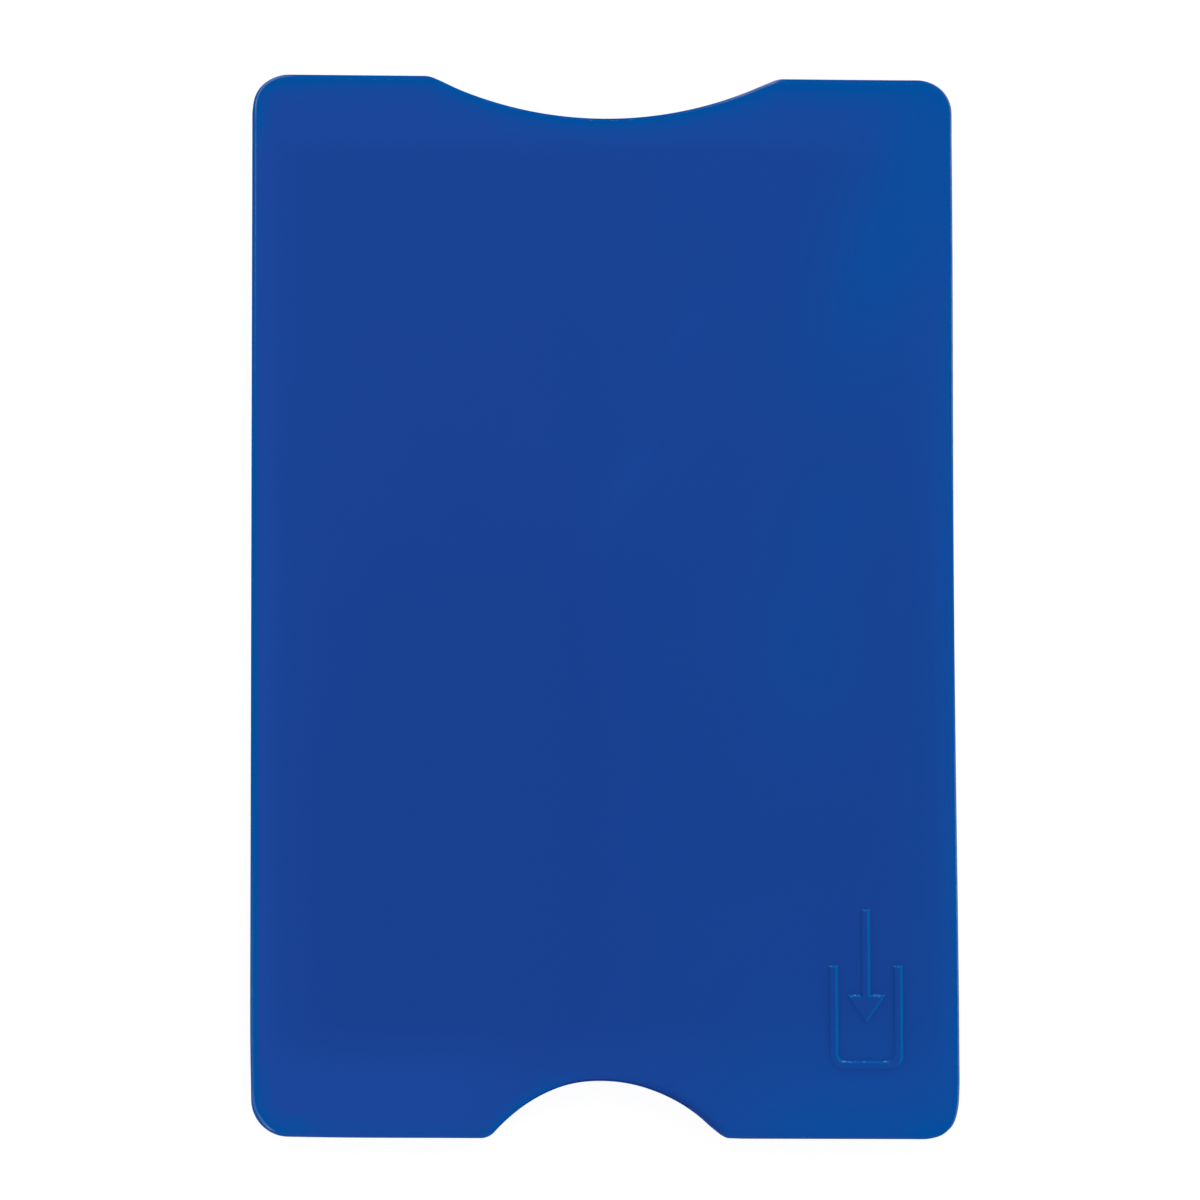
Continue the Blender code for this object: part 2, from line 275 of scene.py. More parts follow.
class Wire:
    def __init__(self, board, socket):
        self.board, self.socket = board, socket

    def sum(self, operation, a, b=None):
        values = {0: a} if b is None else {0: a, 1: b}
        return self.board.node("ShaderNodeMath", dict(operation=operation), values)

    def __add__(self, other):
        return self.sum("ADD", self, other)

    def __radd__(self, other):
        return self.sum("ADD", other, self)

    def __sub__(self, other):
        return self.sum("SUBTRACT", self, other)

    def __rsub__(self, other):
        return self.sum("SUBTRACT", other, self)

    def __mul__(self, other):
        return self.sum("MULTIPLY", self, other)

    def __rmul__(self, other):
        return self.sum("MULTIPLY", other, self)

    def __truediv__(self, other):
        return self.sum("DIVIDE", self, other)

    def __pow__(self, other):
        return self.sum("POWER", self, other)

    def __abs__(self):
        return self.sum("ABSOLUTE", self)

    def least(self, other):
        return self.sum("MINIMUM", self, other)

    def most(self, other):
        return self.sum("MAXIMUM", self, other)

    def exp(self):
        return self.sum("EXPONENT", self)

    def ramp(self, low, high, start=0.0, end=1.0):
        # a smooth step from one value to another
        settings = dict(interpolation_type="SMOOTHSTEP")
        values = {0: self, 1: low, 2: high, 3: start, 4: end}
        return self.board.node("ShaderNodeMapRange", settings, values)


class Board:
    def __init__(self, tree):
        self.tree = tree
        tree.nodes.clear()

    def node(self, kind, settings=None, values=None, output=0):
        # any node: its type, its settings, and the values or links of its sockets
        made = self.tree.nodes.new(kind)
        for name, value in (settings or {}).items():
            setattr(made, name, value)
        for name, value in (values or {}).items():
            if isinstance(value, Wire):
                self.tree.links.new(value.socket, made.inputs[name])
            else:
                made.inputs[name].default_value = value
        return Wire(self, made.outputs[output]) if made.outputs else made

    def mix(self, share, first, second):
        # a colour between two colours
        settings = dict(data_type="RGBA", clamp_factor=True)
        return self.node("ShaderNodeMix", settings, {0: share, 6: first, 7: second}, 2)

    def noise(self, place, scale, detail, ramp=None):
        # cloudy noise, as it is or through a ramp
        cloud = self.node("ShaderNodeTexNoise", None, {"Vector": place, "Scale": scale, "Detail": detail})
        return cloud.ramp(*ramp) if ramp else cloud

    def bump(self, height):
        # a surface normal that follows a height in metres
        return self.node("ShaderNodeBump", None, {"Strength": 1.0, "Distance": 1.0, "Height": height})

    def place(self):
        # the piece's own coordinates
        return self.node("ShaderNodeTexCoord", None, None, "Object")

    def parts(self, vector):
        split = self.node("ShaderNodeSeparateXYZ", None, {0: vector})
        return [Wire(self, socket) for socket in split.socket.node.outputs]


def newMaterial(name):
    material = bpy.data.materials.new(name)
    material.use_nodes = True
    return material, Board(material.node_tree)


# What the front cover measures beyond its outline

frontCover = dict(
    signHeight=0.00020,
    signStroke=0.00070,
    signCaseWidth=0.00620,
    signCaseLength=0.00880,
    signCaseCorner=0.00130,
    signArrowLength=0.00960,
    signArrowEntry=0.00480,
    signHeadWidth=0.00320,
    signHeadLength=0.00230,
    signFromSide=0.00800,
    signFromEnd=0.00560,
    signFoot=0.00009,  # how far the round foot runs out beyond the stroke
    signCrown=0.00014,  # how far the round shoulder runs in from its edge
    pocketClearance=0.00010,
    foilCorner=0.00200,
    filmGap=0.00002,
    levelWidth=0.05300,  # the rectangle of even grid in the middle of the face
    levelLow=-0.04016,
    levelHigh=0.04110,
    firstRow=0.00012,  # a narrow first row, so that the fine cells reach below the sign
    fineSteps=7,  # how many fine cells a coarse one is split into round the sign
    fineMargin=0.00050,
    bridgeShares=(0.35, 0.70),  # where rings lie between the round edge and the level middle
)
filmPlayTop = frontFilmHigh.z + frontCover["filmGap"]
filmPlayBottom = backFilmLow.z - frontCover["filmGap"]


# Blue plastic, with light and shade painted in: lighter beyond the foil where light comes through, and
# glowing at its edges

# A ramp is a smooth step: from, to, and the values at both where they aren't 0 and 1. One named across
# runs in x, along in y, down in -y, and outward both ways in y from mid-length.
bluePlastic = dict(
    coreColour=(0.0095, 0.0505, 0.2770, 1),  # over the foil
    borderColour=(0.0106, 0.0608, 0.3195, 1),  # painted light that comes through where no foil is behind it
    rimLightColour=(0.0000, 0.0778, 0.3410, 1),  # painted light where it leaves by an edge
    shadeColour=(0.0050, 0.0330, 0.2000, 1),  # painted shade on edges that turn away from the light
    litStrokeColour=(0.0000, 0.1180, 0.4000, 1),  # painted light on the sign's edges that face the light
    slotLightColour=(0.0110, 0.1020, 0.5400, 1),  # painted light inside the slot, as lit through both walls
    glintColour=(0.0950, 0.2300, 0.5900, 1),  # painted glints: bright specks on the sign's edges that face up
    notchLightColour=(0.0230, 0.1120, 0.6000, 1),  # painted light low on the wall of the thumb notch, where it lies in shade

    # painted light from behind
    cloud=dict(scale=90, detail=3.0, ramp=(0.25, 0.75, -0.04, 0.04)),
    leftFade=dict(start=0.00136, reach=0.0023, ramp=(0, 0.0008, 1, 0.80)),
    rightFade=dict(start=0.00099, along=(-0.010, 0.018), reaches=(0.00144, 0.0034), shares=(0.71, 0.96)),
    mouthFade=(0.0380, 0.0410),
    thumbFade=dict(down=(0.0352, 0.0415), across=(-0.0175, -0.0015, 1, 0.53)),
    lengthFade=dict(lean=0.21, ramp=(-0.0125, 0.0396, 0, 0.36)),
    streaks=((0.0020, 0.0106, 0.0046, 0.00125, 0.36), (0.0070, 0.0230, 0.0036, 0.00125, 0.22)),
    streakTurn=62,  # degrees from the short side

    # painted light that leaves by the rim
    rim=dict(reach=0.00030, share=1.30),
    rimSides=(-0.0050, 0.0050),  # from the left side's width of rim to the right side's
    leftRimWidths=((-0.0300, 0.0360, 0.00056, 0.00036), (0.0390, 0.0420, 0, 0.00030)),
    rightRimWidths=((0.0040, 0.0270, 0.00030, 0.00049), (0.0390, 0.0430, 0, 0.00009)),  # from mid-length
    bowlRimWidth=0.00040,
    bareBottom=dict(down=(0.0425, 0.0448), left=(-0.0290, -0.0265), right=(0.0245, 0.0275, 1, 0)),
    bareLeft=dict(across=(-0.0285, -0.0265, 1, 0), along=(0.0360, 0.0410, 1, 0)),
    cornerBand=dict(width=0.00150, outward=(0.0385, 0.0420), across=(-0.0265, -0.0235, 0.50, 0)),
    bottomBand=dict(width=0.00110, across=(-0.0020, 0.0100, 0.20, 0)),
    mouthRim=dict(share=1.80, reachAcross=(0.0040, 0.0240, 0.00072, 0.00140)),
    sideRim=dict(reach=0.00192, share=0.41),
    lowRim=dict(reach=0.00577, share=0.67),
    lowRimAcross=(0.0028, 0.0188),
    rightTint=(-0.0084, 0.0076, 0, 0.062),
    band=dict(place=(0.0228, 0.0268), turn=-21.4, width=0.00525, along=(-0.0168, 0.0050, 0, 0.58)),
    patches=(  # place, half widths and share
        (0.0178, -0.0040, 0.0055, 0.0080, 0.20),
        (0.0198, 0.0077, 0.0045, 0.0050, 0.15),
        (0.0281, -0.0449, 0.0017, 0.0010, 0.60),
    ),
    thumbRim=dict(reach=0.00038, share=1.3),
    thumbShade=dict(reach=0.00022, share=0.60),
    thumbSides=(0.0012, 0.0060),
    thumbNotchLight=dict(
        reach=0.00060, across=(0, 0.0080, 1, 0.35), slope=(0.30, 0.70), height=(0.00080, 0.00180, 0.90, 0)
    ),

    # where light is painted inside the slot: how far in from the edge, and between which heights
    slotStart=(0.0078, 0.0088, 0, 0.00022),  # both ways in x: it starts further in by the shoulders
    slotInward=(0, 0.0001),
    slotTop=(0.00001, 0.00006, 1, 0),  # above the cover's underside
    slotFloor=(0.00090, 0.00098),

    # bright lines along moulded edges: how far in they lie, how wide and how strong they are
    leftLine=dict(
        places=(
            (-0.0050, 0.0100, 0.00011, 0.00024),
            (-0.0435, -0.0415, 0.00002, 0),
            (-0.0452, -0.0440, -0.00010, 0),
            (0.0430, 0.0452, 0, -0.00006),
        ),
        widths=((-0.0445, -0.0425, 0.000048, 0.000060), (0.0436, 0.0448, 0, 0.000020)),
        upperShares=((0.0120, 0.0420, 0, 0.37), (0.0412, 0.0446, 0, 0.80)),
        lowerShares=((-0.0400, -0.0120, 0.33, 0), (-0.0435, -0.0410, 0.57, 0)),
        upperAcross=(-0.0275, -0.0262, 1, 0),
        lowerAcross=(-0.0288, -0.0278, 1, 0),
    ),
    rightLine=dict(
        place=0.00011,
        width=0.00006,
        outward=(0.0040, 0.0200, 0.10, 1.0),
        across=(0.0270, 0.0290),
        along=(-0.0450, -0.0430),
    ),
    shoulderLine=dict(
        place=0.00018, width=0.00010, spot=(0.0130, 0.0448, 0.0038, 0.0020), across=(0.0146, 0.0154, 1.8, 0)
    ),
    lineHeight=(0.0022, 0.0026),
    lineBreaks=dict(scale=700, detail=2.0, ramp=(0.36, 0.60, 0.70, 1.0)),
    lineRoughness=0.12,

    # the raised sign: painted light on its slopes to the right and up, painted shade on those to the left
    # and down
    signStart=(-0.00002, -0.00001),  # above the face
    upwardShare=0.55,
    litSlope=(0.05, 0.50),
    shadedSlope=(0.10, 0.90, 0, 0.15),
    glints=dict(scale=4200, detail=1.0, ramp=(0.56, 0.66)),
    glintSlope=(0.10, 0.40),

    # surface: scales are waves in a metre
    faceRoughness=0.30,
    wallRoughness=0.80,
    grain=dict(scale=900, detail=3.0),
    grainHeight=0.0000009,
    grainRoughness=0.08,
    swell=dict(scale=55, detail=1.0),
    swellHeight=0.000008,
    scuffTurn=(0.3, 0.2, 0.9),
    scuffScale=(60, 2400, 60),
    scuffs=dict(scale=1.0, detail=3.0, ramp=(0.62, 0.78)),
    wear=dict(scale=140, detail=4.0, ramp=(0.45, 0.70)),
    wearRoughness=0.10,
    plasticIndex=1.06,
    lineIndex=1.80,
)


def lengthOf(x, y):
    return (x * x + y * y) ** 0.5


def bowlDistance(x, y, notch, side):
    # distance from a point of the case to a notch's bowl
    centre, radius = bowlCircle(notch)
    return lengthOf(x, y - side * centre) - radius


def boxDistance(x, y):
    # distance from a point inside to the sides and round corners
    corner = outline["cornerRadius"]
    beyondX = abs(x) - (outline["width"] / 2 - corner)
    beyondY = abs(y) - (outline["length"] / 2 - corner)
    return corner - (lengthOf(beyondX.most(0), beyondY.most(0)) + beyondX.most(beyondY).least(0))


def turned(x, y, centreX, centreY, degrees):
    # a place as seen from a centre along turned axes
    turn = math.radians(degrees)
    right, up = x - centreX, y - centreY
    return right * math.cos(turn) + up * math.sin(turn), up * math.cos(turn) - right * math.sin(turn)


def hidden(shares):
    # what is left of several layers that cover each other: one less the product of what each lets through
    rest = 1
    for share in shares:
        rest = rest * (1 - share)
    return 1 - rest


def rampSum(wire, ramps):
    # several ramps of one value, added up
    total = wire.ramp(*ramps[0])
    for ramp in ramps[1:]:
        total = total + wire.ramp(*ramp)
    return total


def fall(distance, reach, share):
    # a share that falls off exponentially from an edge, never above one
    return (((0 - distance) / reach).exp() * share).least(1)


def flatTop(ratio):
    # a share near one up to a ratio of one, where it drops: exp(-ratio^6)
    return (0 - ratio**6).exp()


def hill(offset):
    # a share of one at zero that falls off on both sides: exp(-offset^2)
    return (0 - offset * offset).exp()


def bell(x, y, centreX, centreY, radiusX, radiusY):
    # a round or long hill of height one
    right, up = (x - centreX) / radiusX, (y - centreY) / radiusY
    return (0 - (right * right + up * up)).exp()


def borderShare(x, y, values):
    # how much painted light comes through from behind: all of it beyond the foil, and more towards the
    # mouth
    halfWidth = outline["width"] / 2
    left, right, thumb = values["leftFade"], values["rightFade"], values["thumbFade"]
    fromLeft = x + (halfWidth - left["start"])
    byLeft = fall(fromLeft.most(0), left["reach"], 1) * fromLeft.ramp(*left["ramp"])
    fromRight = (halfWidth - right["start"]) - x
    reach = y.ramp(*right["along"], *right["reaches"])
    byRight = fall(fromRight.most(0), reach, y.ramp(*right["along"], *right["shares"]))
    byMouth = y.ramp(*values["mouthFade"])
    byThumb = (0 - y).ramp(*thumb["down"]) * x.ramp(*thumb["across"])
    length = values["lengthFade"]
    along = (y - x * length["lean"]).ramp(*length["ramp"])
    for centreX, centreY, halfLong, halfShort, share in values["streaks"]:
        onStreak = turned(x, y, centreX, centreY, values["streakTurn"])
        along = along + bell(*onStreak, 0, 0, halfLong, halfShort) * share
    return hidden([along, byLeft, byRight, byMouth, byThumb])


def edgeDistances(x, y):
    # distance to the outer sides, to the mouth notch, to the thumb notch, and to the nearest edge of all
    box = boxDistance(x, y)
    mouth = bowlDistance(x, y, mouthNotch, 1)
    thumb = bowlDistance(x, y, thumbNotch, -1).most(0)
    return box, mouth, thumb, box.least(mouth).most(0).least(thumb)


def rimLightShare(x, y, distances, values):
    # how much painted light leaves by the rim: along the outline, widely at the mouth and on the right
    box, mouth, thumb, _ = distances
    halfWidth, halfLength = outline["width"] / 2, outline["length"] / 2
    bottom, side = values["bareBottom"], values["bareLeft"]
    litBottom = 1 - (0 - y).ramp(*bottom["down"]) * x.ramp(*bottom["left"]) * x.ramp(*bottom["right"])
    litSide = 1 - x.ramp(*side["across"]) * y.ramp(*side["along"])
    leftWidth = rampSum(y, values["leftRimWidths"])
    rightWidth = rampSum(abs(y), values["rightRimWidths"])
    corner, low, top, band = [values[name] for name in ("cornerBand", "bottomBand", "mouthRim", "band")]
    inside = box.most(0)
    acrossBand, alongBand = turned(x, y, *band["place"], band["turn"])
    shares = [
        fall(box.least(mouth).most(0), **values["rim"]) * litBottom * litSide,
        flatTop(inside / x.ramp(*values["rimSides"], leftWidth, rightWidth)) * litBottom,
        flatTop(mouth.most(0) / values["bowlRimWidth"]),
        flatTop(inside / corner["width"]) * abs(y).ramp(*corner["outward"]) * x.ramp(*corner["across"]),
        flatTop((y + halfLength) / low["width"]) * x.ramp(*low["across"]),
        fall((halfLength - y).least(mouth), x.ramp(*top["reachAcross"]), top["share"]),
        fall(halfWidth - x, **values["sideRim"]),
        fall(y + halfLength, **values["lowRim"]) * x.ramp(*values["lowRimAcross"]),
        x.ramp(*values["rightTint"]),
        hill(acrossBand / band["width"]) * alongBand.ramp(*band["along"]),
        fall(thumb, **values["thumbRim"]) * (0 - x).ramp(*values["thumbSides"]),
    ]
    return hidden(shares + [bell(x, y, *patch[:4]) * patch[4] for patch in values["patches"]])


def polishedLines(x, y, edge, values):
    # where a moulded edge is bright: along both sides towards their ends, and by the mouth's right shoulder
    left, right, shoulder = values["leftLine"], values["rightLine"], values["shoulderLine"]
    upper = rampSum(y, left["upperShares"]) * x.ramp(*left["upperAcross"])
    lower = rampSum(y, left["lowerShares"]) * x.ramp(*left["lowerAcross"])
    onLeft = hill((edge - rampSum(y, left["places"])) / rampSum(y, left["widths"])) * (upper + lower)
    byRight = abs(y).ramp(*right["outward"]) * x.ramp(*right["across"]) * y.ramp(*right["along"])
    onRight = hill((edge - right["place"]) / right["width"]) * byRight
    byMouth = bell(x, y, *shoulder["spot"]) * x.ramp(*shoulder["across"])
    return onLeft + onRight + hill((edge - shoulder["place"]) / shoulder["width"]) * byMouth


def plasticColour(board, place, x, y, z, distances, values):
    # the body's colour with painted light and shade: core, border and rim, then the thumb notch, the slot
    # and the raised sign
    _, _, thumb, edge = distances
    # painted light from behind, beyond the foil
    border = borderShare(x, y, values) + board.noise(place, **values["cloud"])
    body = board.mix(border, values["coreColour"], values["borderColour"])
    # painted light that leaves by the rim
    body = board.mix(rimLightShare(x, y, distances, values), body, values["rimLightColour"])
    # painted shade on the right half of the thumb notch's edge
    shade = fall(thumb, **values["thumbShade"]) * x.ramp(*values["thumbSides"])
    body = board.mix(shade, body, values["shadeColour"])
    # painted light inside the slot
    inward = (edge - abs(x).ramp(*values["slotStart"])).ramp(*values["slotInward"])
    slot = (z - coverLow.z).ramp(*values["slotTop"]) * z.ramp(*values["slotFloor"]) * inward
    body = board.mix(slot, body, values["slotLightColour"])

    normalX, normalY, normalZ = board.parts(board.node("ShaderNodeTexCoord", None, None, "Normal"))
    # painted light low on the thumb notch's wall, which lies in shade
    low = values["thumbNotchLight"]
    lift = hill(thumb / low["reach"]) * x.ramp(*low["across"]) * z.ramp(*low["height"])
    body = board.mix(lift * (1 - abs(normalZ)).ramp(*low["slope"]), body, values["notchLightColour"])

    # painted light on the sign's slopes to the right and up, painted shade on those to the left and down
    raised = (z - (coverHigh.z - frontCover["signHeight"])).ramp(*values["signStart"])
    slope = normalX + normalY * values["upwardShare"]
    body = board.mix(slope.ramp(*values["litSlope"]) * raised, body, values["litStrokeColour"])
    # painted glints: bright specks of noise on the sign's edges that face up
    glinting = (normalY - abs(normalX)).ramp(*values["glintSlope"]) * raised
    body = board.mix(board.noise(place, **values["glints"]) * glinting, body, values["glintColour"])
    return board.mix((0 - slope).ramp(*values["shadedSlope"]) * raised, body, values["shadeColour"])


def makeBluePlastic(values):
    material, board = newMaterial("blue_plastic")
    place = board.place()
    x, y, z = board.parts(board.node("ShaderNodeAttribute", dict(attribute_name="drawn"), None, "Vector"))
    distances = edgeDistances(x, y)
    edge = distances[-1]

    # fine grain and a slow swell in the surface, and thin scuffs that change its gloss
    grain, swell = board.noise(place, **values["grain"]), board.noise(place, **values["swell"])
    sockets = {0: place, 2: values["scuffTurn"], 3: values["scuffScale"]}
    squeezed = board.node("ShaderNodeMapping", None, sockets)
    wear = board.noise(place, **values["wear"]) * board.noise(squeezed, **values["scuffs"])
    level = edge.ramp(0, outline["edgeFillet"], values["wallRoughness"], values["faceRoughness"])
    roughness = level + wear * values["wearRoughness"] + (grain - 0.5) * values["grainRoughness"]
    polish = polishedLines(x, y, edge, values).least(1) * board.noise(place, **values["lineBreaks"])

    shader = board.node("ShaderNodeBsdfPrincipled", None, {
        "Base Color": plasticColour(board, place, x, y, z, distances, values),
        "Roughness": roughness,
        "Normal": board.bump(grain * values["grainHeight"] + swell * values["swellHeight"]),
        "Metallic": 0.0,
        "IOR": values["plasticIndex"],
        "Coat Weight": polish * z.ramp(*values["lineHeight"]),
        "Coat IOR": values["lineIndex"],
        "Coat Roughness": values["lineRoughness"],
    })
    board.node("ShaderNodeOutputMaterial", None, {0: shader})
    return material


# Bare aluminium foil with fine creases, and the film that glues it

bareFoil = dict(
    colour=(0.62, 0.63, 0.65, 1),
    dullColour=(0.50, 0.51, 0.53, 1),
    haze=dict(scale=120, detail=4.0),
    hazeRamp=(0.3, 0.7),
    roughness=(0.36, 0.24),  # where it is dull and where it is bright
    creaseScale=260.0,
    creaseRamp=(0.0, 0.12),
    creaseHeight=0.00002,
)
adhesiveFilm = dict(
    colour=(0.55, 0.50, 0.38, 1),
    thinColour=(0.46, 0.41, 0.29, 1),
    streakScale=(900, 60, 60),
    streaks=dict(scale=1.0, detail=3.0),
    streakRamp=(0.3, 0.7),
    streakRoughness=0.10,
    bubbles=dict(scale=1500, detail=2.0, ramp=(0.62, 0.72)),
    bubbleRoughness=0.15,
    roughness=0.48,
)


def makeBareFoil(values):
    material, board = newMaterial("bare_foil")
    place = board.place()
    settings = dict(feature="DISTANCE_TO_EDGE")
    sockets = {"Vector": place, "Scale": values["creaseScale"]}
    crease = board.node("ShaderNodeTexVoronoi", settings, sockets, "Distance").ramp(*values["creaseRamp"])
    haze = board.noise(place, **values["haze"])
    shader = board.node("ShaderNodeBsdfPrincipled", None, {
        "Base Color": board.mix(haze.ramp(*values["hazeRamp"]), values["dullColour"], values["colour"]),
        "Metallic": 1.0,
        "Roughness": haze.ramp(*values["hazeRamp"], *values["roughness"]),
        "Normal": board.bump((crease + haze) * values["creaseHeight"]),
    })
    board.node("ShaderNodeOutputMaterial", None, {0: shader})
    return material


def makeAdhesiveFilm(values):
    material, board = newMaterial("adhesive_film")
    place = board.place()
    squeezed = board.node("ShaderNodeMapping", None, {0: place, 3: values["streakScale"]})
    spread = board.noise(squeezed, **values["streaks"])
    uneven = spread * values["streakRoughness"]
    bubbly = board.noise(place, **values["bubbles"]) * values["bubbleRoughness"]
    shader = board.node("ShaderNodeBsdfPrincipled", None, {
        "Base Color": board.mix(spread.ramp(*values["streakRamp"]), values["thinColour"], values["colour"]),
        "Roughness": uneven + bubbly + values["roughness"],
    })
    board.node("ShaderNodeOutputMaterial", None, {0: shader})
    return material


plastic = makeBluePlastic(bluePlastic)
foil = makeBareFoil(bareFoil)
film = makeAdhesiveFilm(adhesiveFilm)
print("materials made")


# Front cover: a flat plate with a round edge, a pocket below and a raised sign, an arrow into an open case

def signShapes(values):
    # the open case as one bent stroke, and the arrow that points down into it
    middle = outline["width"] / 2 - values["signFromSide"]
    bottom = values["signFromEnd"] - outline["length"] / 2
    outer = values["signCaseWidth"] / 2
    corner = values["signCaseCorner"]
    innerCorner = corner - values["signStroke"]
    inner = outer - values["signStroke"]
    top = bottom + values["signCaseLength"]
    right = (middle + outer - corner, bottom + corner)
    left = (middle - outer + corner, bottom + corner)
    quarter, count = math.pi / 2, steps["signCorner"]
    openCase = np.concatenate([
        [(middle - outer, top)],
        arcPoints(left, corner, math.pi, 3 * quarter, count),
        arcPoints(right, corner, -quarter, 0, count),
        [(middle + outer, top), (middle + inner, top)],
        arcPoints(right, innerCorner, 0, -quarter, count),
        arcPoints(left, innerCorner, 3 * quarter, math.pi, count),
        [(middle - inner, top)],
    ])
    tip = top - values["signArrowEntry"]
    barb = tip + values["signHeadLength"]
    tail = tip + values["signArrowLength"]
    halfHead = values["signHeadWidth"] / 2
    halfStroke = values["signStroke"] / 2
    sides = [(halfHead, barb), (halfStroke, barb), (halfStroke, tail)]
    arrow = [(middle, tip)]
    arrow += [(middle + across, y) for across, y in sides]
    arrow += [(middle - across, y) for across, y in reversed(sides)]
    return [openCase, np.array(arrow)]


def shapeDistance(x, y, corners):
    # signed distance to a closed shape, negative inside: the nearest side, and how often a ray crosses it
    nearest = np.full(x.shape, np.inf)
    inside = np.zeros(x.shape, bool)
    tiny = 1e-18  # keeps a side of no length from dividing by zero
    for (ax, ay), (bx, by) in zip(corners, np.roll(corners, -1, axis=0)):
        alongX, alongY = bx - ax, by - ay
        share = ((x - ax) * alongX + (y - ay) * alongY) / max(alongX**2 + alongY**2, tiny)
        share = np.clip(share, 0, 1)
        nearest = np.minimum(nearest, np.hypot(x - ax - share * alongX, y - ay - share * alongY))
        if ay != by:
            inside ^= ((ay > y) != (by > y)) & (x < ax + (y - ay) * alongX / alongY)
    return np.where(inside, -nearest, nearest)


def signRise(x, y, values):
    # height of the raised sign: a smooth step from foot to crown across each stroke's edge
    distance = np.minimum.reduce([shapeDistance(x, y, shape) for shape in signShapes(values)])
    share = (values["signFoot"] - distance) / (values["signFoot"] + values["signCrown"])
    return values["signHeight"] * smoothStep(share)


def faceGrid(values, z):
    # the level middle of the face: an even grid, with the cells round the sign split finer
    columns = 2 * (steps["corner"] + steps["straight"] + steps["shoulder"] + steps["bowl"])
    rows = 2 * steps["corner"] + steps["long"]
    xs = np.linspace(-values["levelWidth"] / 2, values["levelWidth"] / 2, columns + 1)
    ys = np.linspace(values["levelLow"] + values["firstRow"], values["levelHigh"], rows)
    ys = np.concatenate([[values["levelLow"]], ys])
    shapes = np.concatenate(signShapes(values))
    reach = values["fineMargin"]
    left, right = np.searchsorted(xs, [shapes[:, 0].min() - reach, shapes[:, 0].max() + reach])
    low, high = np.searchsorted(ys, [shapes[:, 1].min() - reach, shapes[:, 1].max() + reach])
    left, low = left - 1, max(low - 1, 1)

    # points of the coarse grid, then those of the fine one, which share their places on its border
    split = values["fineSteps"]
    fineX = np.interp(np.arange(left * split, right * split + 1) / split, np.arange(columns + 1), xs)
    fineY = np.interp(np.arange(low * split, high * split + 1) / split, np.arange(rows + 1), ys)
    coarseX, coarseY = np.meshgrid(xs, ys)
    insideX, insideY = np.meshgrid(fineX, fineY)
    coarse = np.arange(coarseX.size).reshape(coarseX.shape)
    fine = coarseX.size + np.arange(insideX.size).reshape(insideX.shape)
    coarse[low : high + 1, left : right + 1] = fine[::split, ::split]

    def cells(grid):
        return np.stack([grid[:-1, :-1], grid[:-1, 1:], grid[1:, 1:], grid[1:, :-1]], axis=2)

    def border(outer, inner):
        # faces between a coarse row and the fine row next to it, which has more points
        last = len(inner) - split
        inside = [inner[step : last + step : split] for step in range(split, -1, -1)]
        return np.column_stack([outer[:-1], outer[1:]] + inside)

    keep = np.ones((rows, columns), bool)
    keep[low - 1 : high + 1, left:right] = False
    keep[low:high, left - 1 : right + 1] = False
    faces = [
        cells(coarse)[keep],
        cells(fine).reshape(-1, 4),
        border(coarse[low - 1, left : right + 1], fine[0]),
        border(coarse[low : high + 1, right + 1], fine[:, -1]),
        border(coarse[high + 1, left : right + 1][::-1], fine[-1][::-1]),
        border(coarse[low : high + 1, left - 1][::-1], fine[:, 0][::-1]),
    ]
    x = np.concatenate([coarseX.ravel(), insideX.ravel()])
    y = np.concatenate([coarseY.ravel(), insideY.ravel()])
    rim = np.concatenate([coarse[0, :-1], coarse[:-1, -1], coarse[-1, :0:-1], coarse[:0:-1, 0]])
    return np.column_stack([x, y, z + signRise(x, y, values)]), faces, rim


def foilPocket():
    # the outline of the pocket that a foil lies in, the same in the cover and in the tray
    gap = frontCover["pocketClearance"]
    return pocketLoop(foilHigh.x + gap, foilLow.y - gap, foilHigh.y + gap, frontCover["foilCorner"] + gap)


def coverBody(values):
    # pocket below, seam chamfer, wall and round edge as rings, then the face's grid inside the last ring
    face = coverHigh.z - values["signHeight"]
    chamfer = outline["seamChamfer"]
    pocket = foilPocket()
    rings = [
        lift(pocket, filmPlayTop),
        lift(pocket, coverLow.z),
        lift(caseLoop(chamfer, chamfer), coverLow.z),
        lift(caseLoop(0, 0), coverLow.z + chamfer),
    ]
    rings += filletRings(face, -1)
    grid, gridFaces, rim = faceGrid(values, face)
    count = len(rings[0])
    outer, inner = rings[-1], grid[rim]
    rings += [outer + (inner - outer) * share for share in values["bridgeShares"]]
    points = np.concatenate(rings + [grid])
    first = count * len(rings)
    last = first - count + np.arange(count)
    rim = rim + first
    bridge = np.stack([last, np.roll(last, -1), np.roll(rim, -1), rim], axis=1)
    floor = np.arange(count)[::-1][None]
    return points, [loftFaces(len(rings), count), bridge, floor] + [block + first for block in gridFaces]


cover = makePiece("cover_shell", coverBody(frontCover), plastic)
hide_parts("front_cover")
print("front cover:", len(cover.data.polygons), "faces")


# Back tray: floor plate, a rail with an end stop on each side, locating pegs and grip ribs

backTray = dict(
    pegHeight=0.00045,
    pegRadius=0.00060,
    pegSides=20,
    sidePegSpacing=0.02800,
    endPegHalfSpacing=0.01850,
    railWidth=0.00270,
    endStopLength=0.00270,
    floorThickness=0.00100,
    footDepth=0.00010,  # how far rails, pegs and ribs reach into what carries them
    pegBreak=0.00008,  # broken edge on top of a peg
    slotCornerRadius=0.00030,
    ribHalfSpacing=0.02150,
    ribLength=0.00600,
    ribWidth=0.00120,
    ribHeight=0.00035,
    ribFromMouth=0.00280,
)


def floorBody(values):
    # the plate under the slot, with the round back edge and the pocket for the back foil
    pocket, top = foilPocket(), values["floorThickness"]
    rings = filletRings(trayLow.z, 1)[::-1]
    rings += [lift(caseLoop(0, 0), top), lift(pocket, top), lift(pocket, filmPlayBottom)]
    return closedLoft(rings)


